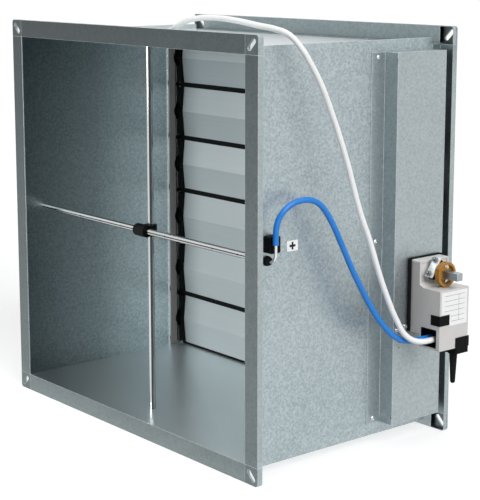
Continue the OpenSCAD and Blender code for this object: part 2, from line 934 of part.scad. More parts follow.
// Folded cover over the gear train
module gear_cover() {
    color("#a9b2b4")
        difference() {
            union() {
                slab(out_x, out_x + sheet, cover_y0 - cover_flange_w, cover_y0 + sheet,
                    -cover_half, cover_half);
                slab(out_x, cover_x, cover_y0, cover_y0 + sheet, -cover_half, cover_half);
                slab(cover_x - sheet, cover_x, cover_y0, cover_y1, -cover_half, cover_half);
                slab(cover_x - cover_return, cover_x, cover_y1 - sheet, cover_y1, -cover_half, cover_half);
                for (m = [0, 1])
                    mirror([0, 0, m]) {
                        slab(out_x, cover_x, cover_y0, duct_len - rail_in - free_gap,
                            cover_half - sheet, cover_half);
                        slab(out_x + rail_t + free_gap, cover_x, cover_y0, cover_y1,
                            cover_half - sheet, cover_half);
                    }
            }
            for (z = rivet_heights)
                round_x(rivet_shank_d, out_x - cut_over, out_x + sheet + cut_over, rivet_y, z);
            for (s = [-1, 1])
                round_y(flank_hole_d, cover_y0 - cut_over, cover_y0 + sheet + cut_over,
                    cover_x - flank_hole_in, s * (cover_half - flank_hole_end));
            round_x(spindle_hole_d, cover_x - sheet - cut_over, cover_x + cut_over, axis_y, drive_z);
            round_x(face_hole_d, cover_x - sheet - cut_over, cover_x + cut_over,
                cover_y0 + screw_edge, drive_z - cover_mid_hole_drop);
            for (k = [0, 1])
                round_x(face_hole_d, cover_x - sheet - cut_over, cover_x + cut_over,
                    cover_y0 + spare_hole_edge, drive_z - spare_hole_drop - k * spare_hole_step);
            for (p = screw_places)
                round_x(screw_shank_d, cover_x - sheet - cut_over, cover_x + cut_over, p[0], p[1]);
        }
}

// Blind rivets along the cover's flange, with a button head and a tail in the wall
module cover_rivets() {
    color("#c3c9cb")
        for (z = rivet_heights)
            translate([out_x + sheet, rivet_y, z])
                rotate([0, 90, 0])
                    difference() {
                        union() {
                            rotate_extrude()
                                intersection() {
                                    square([rivet_d / 2, rivet_h]);
                                    translate([0, rivet_h - rivet_dome_r])
                                        circle(rivet_dome_r);
                                }
                            translate([0, 0, -sheet])
                                cylinder(d = rivet_shank_d - 2 * run_gap, h = sheet + rivet_h / 2);
                        }
                        translate([0, 0, rivet_h / 2])
                            cylinder(d = rivet_shank_d / 2, h = rivet_h);
                    }
}

// Pan head screws in the cover's face
module cover_screws() {
    slot_long = screw_d / 2;
    slot_wide = screw_d / 8;
    color("#d2d7d8")
        for (p = screw_places)
            translate([cover_x, p[0], p[1]])
                rotate([0, 90, 0]) {
                    difference() {
                        cylinder(d = screw_d, h = screw_h);
                        for (a = [0, 90])
                            rotate(a)
                                translate([-slot_long / 2, -slot_wide / 2, screw_h / 2])
                                    cube([slot_long, slot_wide, screw_h]);
                    }
                    translate([0, 0, -screw_shank_l])
                        cylinder(d = screw_shank_d - 2 * run_gap, h = screw_shank_l);
                }
}

// Square steel bar from the driven blade's cap out through the clamp
module drive_spindle() {
    color("#9ba6ac")
        translate([0, axis_y, drive_z])
            slab(blade_end + spindle_in, spindle_x1, -square_w / 2, square_w / 2,
                -square_w / 2, square_w / 2);
}

// Turned frame of the clamp: X stays, and Y points out through the clamp's plate
module clamp_frame() {
    translate([0, axis_y, drive_z])
        rotate([clamp_angle, 0, 0])
            children();
}

// Output hub that turns in the controller, the jaw with its square seat, and the plate under
// the nuts
module clamp_plate() {
    seat = square_w / 2 + seat_gap;
    plate_x0 = clamp_mid_x - clamp_w / 2;
    difference() {
        color("#d9dddd")
            union() {
                clamp_frame() {
                    slab(plate_x0, plate_x0 + clamp_w, clamp_out, clamp_out + clamp_t,
                        -clamp_l / 2, clamp_l / 2);
                    slab(plate_x0 + clamp_t, plate_x0 + clamp_w - clamp_t,
                        0, clamp_out + clamp_t / 2, -clamp_block_w / 2, clamp_block_w / 2);
                }
                translate([0, axis_y, drive_z])
                    round_x(output_d, base_x1 + free_gap, plate_x0 + clamp_t + seat_gap);
            }
        translate([0, axis_y, drive_z])
            slab(base_x1 - cut_over, clamp_x1 + cut_over, -seat, seat, -seat, seat);
        clamp_frame()
            for (s = [-1, 1])
                translate([clamp_mid_x, clamp_out - cut_over, s * u_leg])
                    rotate([-90, 0, 0])
                        cylinder(d = u_bolt_d + 2 * run_gap, h = clamp_t + 2 * cut_over);
    }
}

// U-bolt round the spindle's corner, and its two nuts on the plate
module clamp_bolt_and_nuts() {
    leg_end = clamp_out + clamp_t + u_leg_over;
    color("#c8cdce")
        clamp_frame() {
            translate([clamp_mid_x, 0, 0])
                rotate([0, -90, 0]) {
                    rotate([0, 0, 180])
                        rotate_extrude(angle = 180)
                            translate([u_leg, 0])
                                circle(d = u_bolt_d);
                    for (s = [-1, 1])
                        translate([s * u_leg, 0, 0])
                            rotate([-90, 0, 0])
                                cylinder(d = u_bolt_d, h = leg_end);
                }
            for (s = [-1, 1])
                translate([clamp_mid_x, clamp_out + clamp_t, s * u_leg])
                    rotate([-90, 0, 0])
                        difference() {
                            cylinder(d = nut_w / cos(30), h = nut_h, $fn = 6);
                            translate([0, 0, -cut_over])
                                cylinder(d = u_bolt_d + 2 * run_gap, h = nut_h + 2 * cut_over);
                        }
        }
}

// Round pointer ring that shows the blade position
module indicator_ring() {
    hub_seat = square_w / 2 + seat_gap;
    ring_x1 = ring_x0 + ring_w;
    color("#c98a2b")
        translate([0, axis_y, drive_z])
            difference() {
                union() {
                    difference() {
                        round_x(ring_d, ring_x0, ring_x1);
                        round_x(ring_d - 2 * ring_t, ring_x0 - cut_over, ring_x1 + cut_over);
                    }
                    rotate([clamp_angle - 90, 0, 0])
                        slab(ring_x0, ring_x1, -pointer_w / 2, pointer_w / 2,
                            ring_d / 2 - ring_t / 2, ring_d / 2 + pointer_l / 2);
                    round_x(ring_hub_d, ring_x0, ring_x0 + ring_spoke_t);
                    for (k = [0 : ring_spokes - 1])
                        rotate([clamp_angle + k * 360 / ring_spokes, 0, 0])
                            slab(ring_x0, ring_x0 + ring_spoke_t, 0, (ring_d - ring_t) / 2,
                                -ring_spoke_w / 2, ring_spoke_w / 2);
                }
                slab(ring_x0 - cut_over, ring_x1 + cut_over, -hub_seat, hub_seat, -hub_seat, hub_seat);
            }
}

// Rubber plate between the gear cover and the controller
module controller_base() {
    color("#141516")
        difference() {
            along_x(cover_x, base_x1)
                translate([ctrl_y0 - base_margin, deck_z0])
                    soft_rect(ctrl_w + 2 * base_margin, deck_h + base_margin / 2, ctrl_r);
            round_x(spindle_hole_d, cover_x - cut_over, base_x1 + cut_over, axis_y, drive_z);
        }
}

// Side profile of the controller: low deck above, thick body below, a sloped step between
module housing_profile() {
    polygon([[base_x1, ctrl_z1], [deck_x1, ctrl_z1], [deck_x1, body_z1 + step_rise],
        [deck_x1 + step_chamfer, body_z1], [body_x1, body_z1], [body_x1, ctrl_z0],
        [body_back_x, ctrl_z0], [body_back_x, deck_z0], [base_x1, deck_z0]]);
}

module controller_housing() {
    color("#c9c7c4")
        difference() {
            intersection() {
                along_y(ctrl_y0, ctrl_y1)
                    housing_profile();
                along_x(base_x1, body_x1)
                    translate([ctrl_y0, ctrl_z0])
                        soft_rect(ctrl_w, ctrl_h, ctrl_r);
            }
            // Sunk deck round the clamp
            slab(deck_x1 - deck_sink, deck_x1 + cut_over, ctrl_y0 + deck_rim, ctrl_y1 - deck_rim,
                body_z1 + step_rise + case_t, ctrl_z1 - deck_rim);
            // Bearing of the output hub
            round_x(output_d + 2 * run_gap, base_x1 - cut_over, deck_x1 + cut_over, axis_y, drive_z);
            // Seat of the hose inlet
            slab(inlet_x0, inlet_x1, ctrl_y0 - cut_over, ctrl_y0 + inlet_d, inlet_z0, inlet_z1);
            // Seat of the cable gland
            slab(gland_x0, body_x1 + cut_over, gland_y0, ctrl_y1 + cut_over, ctrl_z0 - cut_over, gland_z1);
            // Seat of the black clip
            slab(body_x1 - clip_side_l, body_x1 + cut_over, ctrl_y0 - cut_over,
                ctrl_y0 + clip_t - clip_proud, clip_z0, clip_z1);
            slab(body_x1 - clip_t + clip_proud, body_x1 + cut_over, ctrl_y0 - cut_over,
                ctrl_y0 + clip_face_l, clip_z0, clip_z1);
        }
}

// Bare label on the body's outer face, notched for the clip
module label_plate() {
    color("#eceded")
        difference() {
            slab(body_x1, body_x1 + label_t, ctrl_y0 + label_edge, ctrl_y1 - label_edge,
                label_z0, label_z1);
            slab(body_x1 - cut_over, body_x1 + label_t + cut_over, ctrl_y0 - cut_over,
                ctrl_y0 + clip_face_l + label_gap, label_z0 - cut_over, clip_z1 + label_gap);
        }
}

// Black clip bent round the body's front edge
module edge_clip() {
    color("#17181a") {
        slab(body_x1 - clip_side_l, body_x1 + clip_proud, ctrl_y0 - clip_proud,
            ctrl_y0 - clip_proud + clip_t, clip_z0, clip_z1);
        slab(body_x1 + clip_proud - clip_t, body_x1 + clip_proud, ctrl_y0 - clip_proud,
            ctrl_y0 + clip_face_l, clip_z0, clip_z1);
    }
}

// Black liner of the opening where the two hoses go in
module hose_inlet() {
    color("#0f1011")
        difference() {
            slab(inlet_x0, inlet_x1, ctrl_y0, ctrl_y0 + inlet_d, inlet_z0, inlet_z1);
            along_y(ctrl_y0 - cut_over, inlet_back_y)
                translate([inlet_x0 + inlet_t, inlet_z0 + inlet_t])
                    soft_rect(inlet_w - 2 * inlet_t, inlet_h - 2 * inlet_t, inlet_r);
        }
}

// Black corner block that holds the cable boot
module cable_gland() {
    color("#1b1c1e")
        union() {
            slab(gland_x0, gland_x1, gland_y0, gland_y1, ctrl_z0 - free_gap, gland_z1);
            along_z(gland_z0, ctrl_z0 - free_gap)
                translate([gland_x0, gland_y0])
                    soft_rect(gland_x_l, gland_w, ctrl_r);
        }
}

// Tapered boot that hangs from the gland, with a ribbed root and a round tip
module cable_boot() {
    color("#1b1c1e") {
        round_z(boot_collar_d, gland_z0 - boot_collar_h, gland_z0, boot_x, boot_y);
        translate([boot_x, boot_y, gland_z0 - boot_l])
            cylinder(d1 = boot_tip_d, d2 = boot_d, h = boot_l);
        translate([boot_x, boot_y, gland_z0 - boot_l])
            sphere(d = boot_tip_d);
    }
}

// Extruded level tube with a groove along its upwind side and a row of sensing holes
module level_tube() {
    x1 = out_x + tube_out;
    color("#c6c9ca")
        difference() {
            round_x(tube_d, -half_w, x1, level_y, 0);
            round_x(tube_bore, -half_w + blind_l, x1 + cut_over, level_y, 0);
            slab(-half_w + blind_l, half_w - blind_l, level_y - tube_d, level_y - tube_d / 2 + groove_d,
                -groove_open / 2, groove_open / 2);
            for (k = sense_steps)
                if (abs(k * sense_pitch) > cross_len && abs(k * sense_pitch) < half_w - tube_d)
                    round_y(sense_d, level_y - tube_d, level_y, k * sense_pitch, 0);
        }
}

// Upright tube behind it, with its holes on the downwind side
module upright_tube() {
    z1 = out_z + tube_out;
    color("#c6c9ca")
        difference() {
            round_z(tube_d, -half_h, z1, 0, upright_y);
            round_z(tube_bore, -half_h + blind_l, z1 + cut_over, 0, upright_y);
            for (k = sense_steps)
                if (abs(k * sense_pitch) > cross_len && abs(k * sense_pitch) < half_h - tube_d)
                    translate([0, upright_y, k * sense_pitch])
                        round_y(sense_d, 0, tube_d);
        }
}

// Black clip that holds the two tubes where they cross
module tube_crosspiece() {
    sleeve_d = tube_d + 2 * cross_wall;
    color("#161719")
        difference() {
            union() {
                round_x(sleeve_d, -cross_left, cross_len - cross_left, level_y, 0);
                along_z(-cross_half_z, cross_half_z)
                    union() {
                        translate([0, upright_y])
                            circle(d = sleeve_d);
                        translate([-sleeve_d / 2, level_y])
                            square([sleeve_d, tube_step]);
                    }
            }
            round_x(tube_d + 2 * run_gap, -cross_left - cut_over, cross_len + cut_over, level_y, 0);
            round_z(tube_d + 2 * run_gap, -sleeve_d, sleeve_d, 0, upright_y);
            slab(cross_len - cross_left, sleeve_d, level_y - sleeve_d, level_y + tube_d / 2 + run_gap,
                -sleeve_d, sleeve_d);
        }
}

// Black rest on the wall over the level tube's end, which the blue hose leans on, with grooves
// across its front
module tube_holder() {
    z1 = holder_rise + holder_h;
    color("#151617")
        difference() {
            along_x(out_x, out_x + holder_t)
                translate([holder_y0, holder_rise])
                    soft_rect(holder_w, holder_h, holder_r);
            for (k = [1 : holder_ribs])
                slab(out_x + holder_foot_t, out_x + holder_t + cut_over,
                    holder_y0 - cut_over, holder_y0 + holder_rib_t,
                    z1 - holder_r - k * holder_rib_step, z1 - holder_r - k * holder_rib_step + holder_rib_t);
        }
}

// Rubber grommet through a wall, with a flange on each face
module wall_grommet() {
    difference() {
        union() {
            cylinder(d = wall_hole_d - 2 * run_gap, h = sheet);
            translate([0, 0, sheet])
                cylinder(d = grommet_d, h = grommet_h);
            translate([0, 0, -grommet_in])
                cylinder(d = grommet_d, h = grommet_in);
        }
        translate([0, 0, -grommet_in - cut_over])
            cylinder(d = tube_d + 2 * run_gap, h = grommet_in + sheet + grommet_h + 2 * cut_over);
    }
}

module tube_grommets() {
    color("#151617") {
        translate([half_w, level_y, 0])
            rotate([0, 90, 0])
                wall_grommet();
        translate([0, upright_y, half_h])
            wall_grommet();
    }
}

// Bent metal pipe: a stopper in the tube's end, a straight run, a bend and a second run
module elbow(first, second, bend_r) {
    translate([0, 0, -elbow_insert])
        cylinder(d = tube_bore - 2 * run_gap, h = elbow_insert);
    cylinder(d = elbow_d, h = first - bend_r);
    translate([bend_r, 0, first - bend_r])
        rotate([90, 0, 0])
            rotate([0, 0, 90])
                rotate_extrude(angle = 90)
                    translate([bend_r, 0])
                        circle(d = elbow_d);
    translate([bend_r, 0, first])
        rotate([0, 90, 0])
            cylinder(d = elbow_d, h = second - bend_r);
}

module side_elbow() {
    x0 = out_x + tube_out;
    color("#e3e6e6")
        translate([x0, level_y, 0])
            rotate([0, 90, 0])
                rotate([0, 0, 180])
                    elbow(blue_route[0][0] - x0, elbow_rise, side_bend_r);
}

module top_elbow() {
    z0 = out_z + tube_out;
    color("#e3e6e6")
        translate([0, upright_y, z0])
            elbow(white_route[0][2] - z0, white_route[0][0], top_bend_r);
}

// Unit vector
function unit(v) = v / norm(v);
// Direction of a route at one of its points
function heading(route, i) = let(last = len(route) - 1)
    i == 0 ? unit(route[1] - route[0])
    : i == last ? unit(route[last] - route[last - 1])
    : unit(unit(route[i] - route[i - 1]) + unit(route[i + 1] - route[i]));
// Side vector of each ring, carried along from the ring before it
function sides_of(route, i = 0, side = [0, 1, 0], done = []) =
    i == len(route) ? done
    : let(h = heading(route, i), s = unit(side - (side * h) * h))
        sides_of(route, i + 1, s, concat(done, [s]));

// Tube through a list of points, with a ring at each
module swept_tube(route, d, start_side) {
    last = len(route) - 1;
    sides = sides_of(route, 0, start_side);
    points = [for (i = [0 : last], k = [0 : hose_sides - 1])
        let(a = k * 360 / hose_sides, h = heading(route, i), s = sides[i])
        route[i] + d / 2 * (cos(a) * s + sin(a) * cross(h, s))];
    walls = [for (i = [0 : last - 1], k = [0 : hose_sides - 1])
        let(a = i * hose_sides, b = (k + 1) % hose_sides)
        each [[a + k, a + b, a + hose_sides + b], [a + k, a + hose_sides + b, a + hose_sides + k]]];
    first_cap = [for (k = [1 : hose_sides - 2]) [0, k + 1, k]];
    last_cap = [for (k = [1 : hose_sides - 2])
        [last * hose_sides, last * hose_sides + k, last * hose_sides + k + 1]];
    faces = concat(walls, first_cap, last_cap);
    polyhedron(points, [for (f = faces) [f[2], f[1], f[0]]]);
}

module blue_hose() {
    color("#1f7fdc")
        swept_tube(blue_route, hose_d, [1, 0, 0]);
}

module white_hose() {
    color("#f1f3f3")
        swept_tube(white_route, hose_d, [0, 1, 0]);
}

left_wall();
right_wall();
top_wall();
floor_wall();
front_rails();
front_corners();
rear_rails();
rear_corners();
blade_bushes();
side_seal_channels();
side_seals();
seam_pads();
for (n = blade_numbers) {
    blade(n);
    edge_seals(n);
    end_caps(n);
    gear(n);
}
gear_cover();
cover_rivets();
cover_screws();
drive_spindle();
clamp_plate();
clamp_bolt_and_nuts();
indicator_ring();
controller_base();
controller_housing();
label_plate();
edge_clip();
hose_inlet();
cable_gland();
cable_boot();
level_tube();
upright_tube();
tube_crosspiece();
tube_holder();
tube_grommets();
side_elbow();
top_elbow();
blue_hose();
white_hose();
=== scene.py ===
"""Airflow volume regulator: finishes, hoses, small trim, light and camera round the CAD frame.

Metres, in the frame's own axes: X to the controller side, Y along the airflow, Z up.
"""

import collections
import math

import bmesh
import bpy
from mathutils import Matrix, Vector


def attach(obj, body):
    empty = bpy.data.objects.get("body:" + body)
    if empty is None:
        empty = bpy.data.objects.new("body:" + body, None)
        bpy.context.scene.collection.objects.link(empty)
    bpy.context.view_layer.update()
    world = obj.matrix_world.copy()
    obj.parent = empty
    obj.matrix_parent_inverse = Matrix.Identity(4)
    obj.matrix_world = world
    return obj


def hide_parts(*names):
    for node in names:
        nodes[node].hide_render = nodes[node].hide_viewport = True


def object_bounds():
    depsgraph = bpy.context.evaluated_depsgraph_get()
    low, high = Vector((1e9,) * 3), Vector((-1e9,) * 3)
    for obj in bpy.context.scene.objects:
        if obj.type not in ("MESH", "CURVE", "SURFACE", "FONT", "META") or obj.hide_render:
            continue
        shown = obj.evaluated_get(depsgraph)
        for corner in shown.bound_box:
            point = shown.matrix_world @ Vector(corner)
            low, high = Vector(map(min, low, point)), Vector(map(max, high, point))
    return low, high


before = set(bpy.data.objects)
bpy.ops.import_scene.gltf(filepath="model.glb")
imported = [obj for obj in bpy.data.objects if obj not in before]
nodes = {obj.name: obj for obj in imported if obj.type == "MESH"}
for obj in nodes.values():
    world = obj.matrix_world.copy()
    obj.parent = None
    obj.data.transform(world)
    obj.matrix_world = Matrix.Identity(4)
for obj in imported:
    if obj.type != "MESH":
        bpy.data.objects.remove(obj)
cad_low, cad_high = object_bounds()
MM = 0.001


# Camera, at the photograph's viewing angle

PICTURE_HEIGHT = 500
FOCAL_LENGTH_PX = 1430.6
AXIS_ROW = 203.8
CAMERA_PLACE = (1.8418, -1.2851, 0.4327)
CAMERA_YAW = 0.8795
CAMERA_PITCH = 0.17
SENSOR_MM = 36
CLIP_NEAR = 0.05
CLIP_FAR = 200

lens = bpy.data.cameras.new("camera")
lens.sensor_width = SENSOR_MM
lens.lens = SENSOR_MM * FOCAL_LENGTH_PX / PICTURE_HEIGHT
lens.shift_y = (AXIS_ROW - PICTURE_HEIGHT / 2) / PICTURE_HEIGHT
lens.clip_start = CLIP_NEAR
lens.clip_end = CLIP_FAR
camera = bpy.data.objects.new("camera", lens)
bpy.context.scene.collection.objects.link(camera)
forward = Vector((
    -math.sin(CAMERA_YAW) * math.cos(CAMERA_PITCH),
    math.cos(CAMERA_YAW) * math.cos(CAMERA_PITCH),
    -math.sin(CAMERA_PITCH)))
camera.location = CAMERA_PLACE
camera.rotation_mode = "QUATERNION"
camera.rotation_quaternion = forward.to_track_quat("-Z", "Y")
bpy.context.scene.camera = camera


# Hoses: the routes of the part's source, in millimetres

HOSE_D = 9 * MM
HOSE_STEPS = 8
HOSE_ROUNDNESS = 5
BLUE_ROUTE = [
    (321.02, 40, 26), (321.02, 40, 36), (322.02, 40, 49.98), (323.02, 44.01, 63.95),
    (326.02, 52.03, 76.03), (328.03, 64.07, 83.96), (330.03, 80.11, 87.93),
    (333.03, 97.01, 87.07), (335.03, 111.91, 79.99), (336.96, 121.94, 68.95),
    (338.97, 133.97, 49.98), (341.97, 152.02, 13.93), (344.97, 170.93, -25.06),
    (347.98, 188.12, -56.97), (351.98, 207.89, -90.95), (355.98, 229.09, -119.07),
    (358.99, 250, -138.05), (361.99, 270.06, -147.02), (363.99, 290.11, -148.91),
    (364.99, 307.88, -148.91), (364.99, 326.5, -148.91)]
WHITE_ROUTE = [
    (19.87, 52.03, 318), (30.1, 52.03, 318), (46.05, 52.03, 319.79), (70.13, 52.03, 327.85),
    (95.12, 52.89, 338.14), (127.93, 56.04, 343.96), (164.95, 60.06, 344.86),
    (204.98, 62.92, 342.17), (248.02, 66.93, 336.8), (285.95, 70.94, 331.88),
    (308.01, 74.95, 325.17), (324.02, 82.12, 309.06), (331.03, 95.01, 285.78),
    (336.03, 111.91, 254.01), (339.97, 129.96, 211.05), (342.97, 144.86, 172.12),
    (345.97, 156.89, 135.87), (347.98, 166.92, 101.86), (350.98, 180.1, 59.8),
    (354.98, 195, 19.97), (357.99, 209.89, -24.78), (361.99, 227.94, -72.21),
    (365.99, 243.99, -108.01), (370, 260.03, -133.97), (374, 278.08, -146.05),
    (377, 294.98, -149.19), (378.01, 307.88, -149.19), (378.01, 326.5, -149.19)]


def hose(name, node, route):
    """A soft tube along its route, which stands for the CAD hose of the same route."""
    curve = bpy.data.curves.new(name, "CURVE")
    curve.dimensions = "3D"
    curve.resolution_u = HOSE_STEPS
    curve.bevel_depth = 1
    curve.bevel_resolution = HOSE_ROUNDNESS
    curve.use_fill_caps = True
    spline = curve.splines.new("BEZIER")
    spline.bezier_points.add(len(route) - 1)
    for knot, place in zip(spline.bezier_points, route):
        knot.co = Vector(place) * MM
        knot.radius = HOSE_D / 2
        knot.handle_left_type = "AUTO"
        knot.handle_right_type = "AUTO"
    piece = bpy.data.objects.new(name, curve)
    bpy.context.scene.collection.objects.link(piece)
    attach(piece, "casing")
    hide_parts(node)
    return piece


blue_tube = hose("blue_pressure_hose", "blue_hose", BLUE_ROUTE)
white_tube = hose("white_pressure_hose", "white_hose", WHITE_ROUTE)


# Finishes


def linear(code):
    """An sRGB hex colour as the linear colour that a shader takes."""
    parts = [int(code[i:i + 2], 16) / 255 for i in (1, 3, 5)]
    return tuple(
        p / 12.92 if p <= 0.04045 else ((p + 0.055) / 1.055) ** 2.4 for p in parts) + (1.0,)


def add(tree, kind, values=(), links=(), **settings):
    """Adds a node with its settings, the values of its sockets and the links into them."""
    made = tree.nodes.new(kind)
    for key, value in settings.items():
        setattr(made, key, value)
    for socket, value in dict(values).items():
        made.inputs[socket].default_value = value
    for socket, source in dict(links).items():
        tree.links.new(source, made.inputs[socket])
    return made


# Sockets of a Mix node that take and give colours
COLOUR_A, COLOUR_B, COLOUR_OUT = 6, 7, 2

# A noise keeps to its middle, from this share to the rest of one
NOISE_MARGIN = 0.25

# Cosines of the turn to a neighbouring face at which an edge's painted highlight starts, and is
# full
EDGE_STARTS = 0.995
EDGE_FULL = 0.90
EDGE_SAMPLES = 6

# The level direction from the inlet's left side to the outlet's right side
SLANT = (0.5, 0.87, 0.0)

# A painted shade that dims a colour where light falls less: its tints at its two ends, the axis
# between them, which is X, Y, Z or SLANT, and the ends in mm. planes are where the painted shade
# lies, in mm, none for all over, plane_axis is the axis that they stand across, and half how deep
# they reach each way
PaintedShade = collections.namedtuple(
    "PaintedShade", "tints axis ends planes plane_axis half", defaults=((), "Y", 0.3))


def with_painted_shade(tree, colour, shade, axes):
    """A colour under a painted shade."""
    way = add(tree, "ShaderNodeMapRange",
              {"From Min": shade.ends[0] * MM, "From Max": shade.ends[1] * MM},
              {"Value": axes[shade.axis]}).outputs["Result"]
    tint = add(tree, "ShaderNodeMix",
               {COLOUR_A: linear(shade.tints[0]), COLOUR_B: linear(shade.tints[1])},
               {"Factor": way}, data_type="RGBA").outputs[COLOUR_OUT]
    masks = [add(tree, "ShaderNodeMath", {1: plane * MM, 2: shade.half * MM},
                 {0: axes[shade.plane_axis]}, operation="COMPARE").outputs[0]
             for plane in shade.planes]
    while len(masks) > 1:
        masks.append(add(tree, "ShaderNodeMath", links={0: masks.pop(), 1: masks.pop()},
                         operation="MAXIMUM").outputs[0])
    dimmed = add(tree, "ShaderNodeMix", {"Factor": 1.0}, {COLOUR_A: colour, COLOUR_B: tint},
                 data_type="RGBA", blend_type="MULTIPLY")
    if masks:
        tree.links.new(masks[0], dimmed.inputs["Factor"])
    return dimmed.outputs[COLOUR_OUT]


def finish(name, colours, roughness, metallic, cell_mm, pattern, cloud_mm, cloud_share, bump_mm,
           edge=None, edge_mm=0.8, painted_shades=(), gleam=0.5):
    """A surface whose colour, gloss and relief follow one pattern of a real size.

    colours are the pattern's darkest and lightest tone, and roughness its two ends. cell_mm is
    the size along each axis of a pattern that is SPANGLE or NOISE, and cloud_mm and cloud_share
    the size and the share of larger clouds in it. bump_mm is the relief's height. edge is the
    colour of a painted highlight along folded and cut edges, and edge_mm the width of that line.
    The painted shades dim the colour where light falls less. gleam is the specular level.
    """
    material = bpy.data.materials.new(name)
    material.use_nodes = True
    tree = material.node_tree
    tree.nodes.clear()
    place = add(tree, "ShaderNodeTexCoord").outputs["Object"]
    scaled = add(tree, "ShaderNodeMapping", {"Scale": [1 / (size * MM) for size in cell_mm]},
                 {"Vector": place}).outputs["Vector"]
    margin = 0.0
    if pattern == "SPANGLE":
        cells = add(tree, "ShaderNodeTexVoronoi", {"Scale": 1.0, "Randomness": 1.0},
                    {"Vector": scaled})
        fine = add(tree, "ShaderNodeSeparateColor",
                   links={"Color": cells.outputs["Color"]}).outputs["Red"]
    else:
        margin = NOISE_MARGIN
        fine = add(tree, "ShaderNodeTexNoise", {"Scale": 1.0, "Detail": 3.0, "Roughness": 0.6},
                   {"Vector": scaled}).outputs["Fac"]
    cloud = add(tree, "ShaderNodeTexNoise",
                {"Scale": 1 / (cloud_mm * MM), "Detail": 2.0, "Roughness": 0.5},
                {"Vector": place}).outputs["Fac"]
    blend = add(tree, "ShaderNodeMix", {"Factor": cloud_share}, {"A": fine, "B": cloud},
                data_type="FLOAT").outputs["Result"]
    tone = add(tree, "ShaderNodeMapRange", {"From Min": margin, "From Max": 1 - margin},
               {"Value": blend}).outputs["Result"]
    colour = add(tree, "ShaderNodeMix",
                 {COLOUR_A: linear(colours[0]), COLOUR_B: linear(colours[1])}, {"Factor": tone},
                 data_type="RGBA").outputs[COLOUR_OUT]
    parts = add(tree, "ShaderNodeSeparateXYZ", links={0: place}).outputs
    slant = add(tree, "ShaderNodeVectorMath", {1: SLANT}, {0: place}, operation="DOT_PRODUCT")
    axes = {"X": parts["X"], "Y": parts["Y"], "Z": parts["Z"], "SLANT": slant.outputs["Value"]}
    # Painted shade and painted light laid over the colour
    for shade in painted_shades:
        colour = with_painted_shade(tree, colour, shade, axes)
    gloss = add(tree, "ShaderNodeMapRange", {"To Min": roughness[0], "To Max": roughness[1]},
                {"Value": tone}).outputs["Result"]
    ripple = add(tree, "ShaderNodeTexNoise", {"Scale": 1.0, "Detail": 2.0},
                 {"Vector": scaled}).outputs["Fac"]
    relief = add(tree, "ShaderNodeBump", {"Strength": 1.0, "Distance": bump_mm * MM},
                 {"Height": ripple})
    # Painted highlight: a lighter colour along folded and cut edges, where the rounded normal turns
    # away from the flat one, which also rounds the relief
    if edge:
        rounded = add(tree, "ShaderNodeBevel", {"Radius": edge_mm * MM},
                      samples=EDGE_SAMPLES).outputs["Normal"]
        flat = add(tree, "ShaderNodeNewGeometry").outputs["True Normal"]
        turn = add(tree, "ShaderNodeVectorMath", links={0: rounded, 1: flat},
                   operation="DOT_PRODUCT")
        edge_highlight = add(tree, "ShaderNodeMapRange", {"From Min": EDGE_STARTS, "From Max": EDGE_FULL},
                   {"Value": turn.outputs["Value"]}).outputs["Result"]
        colour = add(tree, "ShaderNodeMix", {COLOUR_B: linear(edge)},
                     {"Factor": edge_highlight, COLOUR_A: colour}, data_type="RGBA").outputs[COLOUR_OUT]
        tree.links.new(rounded, relief.inputs["Normal"])
    shader = add(tree, "ShaderNodeBsdfPrincipled",
                 {"Metallic": metallic, "Specular IOR Level": gleam},
                 {"Base Color": colour, "Roughness": gloss, "Normal": relief.outputs["Normal"]})
    add(tree, "ShaderNodeOutputMaterial", links={"Surface": shader.outputs["BSDF"]})
    return material


# Hot-dip galvanised sheet: a metal that mirrors its surroundings softly, mottled by small dull
# zinc spangles, which are drawn at 3 mm so that they show, with painted highlights along its edges
casing_zinc = finish("galvanised_casing_sheet", ("#95a1a4", "#bec9cc"), (0.36, 0.5), 1.0,
                     (3, 3, 3), "SPANGLE", 160, 0.3, 0.02, "#dfe5e6", 0.8)
# The left sheet, lighter, under painted shade that deepens towards the inlet and the top, with
# painted highlights along its edges
left_zinc = finish("galvanised_sheet_painted_shade", ("#bfcdd1", "#f0fafc"), (0.28, 0.4), 1.0,
                   (3, 3, 3), "SPANGLE", 160, 0.3, 0.02, "#dfe5e6", 0.8,
                   painted_shades=(PaintedShade(("#9a9fa1", "#fbfcfc"), "Y", (0, 200)),
                          PaintedShade(("#cccccc", "#ffffff"), "Y", (150, 270)),
                          PaintedShade(("#ffffff", "#d2d6d7"), "Z", (-250, 300))))
# Top sheet: smooth zinc painted paler as lit from above, and less mirroring so that it takes the
# light from above, with painted highlights along its edges
top_zinc = finish("galvanised_sheet_painted_light", ("#c6ced0", "#d4dbdd"), (0.26, 0.34), 0.5,
                  (6, 6, 6), "NOISE", 160, 0.5, 0.01, "#e9eeef", 0.8)
# Floor sheet: smooth too, pale grey, with painted shade that deepens towards the inlet's left side
# and painted highlights along its edges
floor_zinc = finish("galvanised_floor_sheet_painted_shade", ("#dce6e8", "#eaf2f4"), (0.28, 0.34), 0.75,
                    (6, 6, 6), "NOISE", 160, 0.5, 0.001, "#e9eeef", 0.8,
                    painted_shades=(PaintedShade(("#828688", "#ffffff"), "SLANT", (-110, 140)),))
# The same sheet roll-formed into flange rails: mating faces under painted shade that is deepest
# at the top, light outsides, the lowest rail painted lighter as lit from the floor, painted
# highlights along the edges
rail_zinc = finish("galvanised_rolled_rail", ("#a9b5b7", "#c8d3d5"), (0.34, 0.46), 1.0,
                   (3, 3, 3), "SPANGLE", 120, 0.4, 0.02, "#d5dbdc", 0.7,
                   painted_shades=(PaintedShade(("#aeb0b0", "#777979"), "Z", (-330, 330), (0,)),
                          PaintedShade(("#ffffff", "#e4e4e4"), "Z", (-320, -285))))
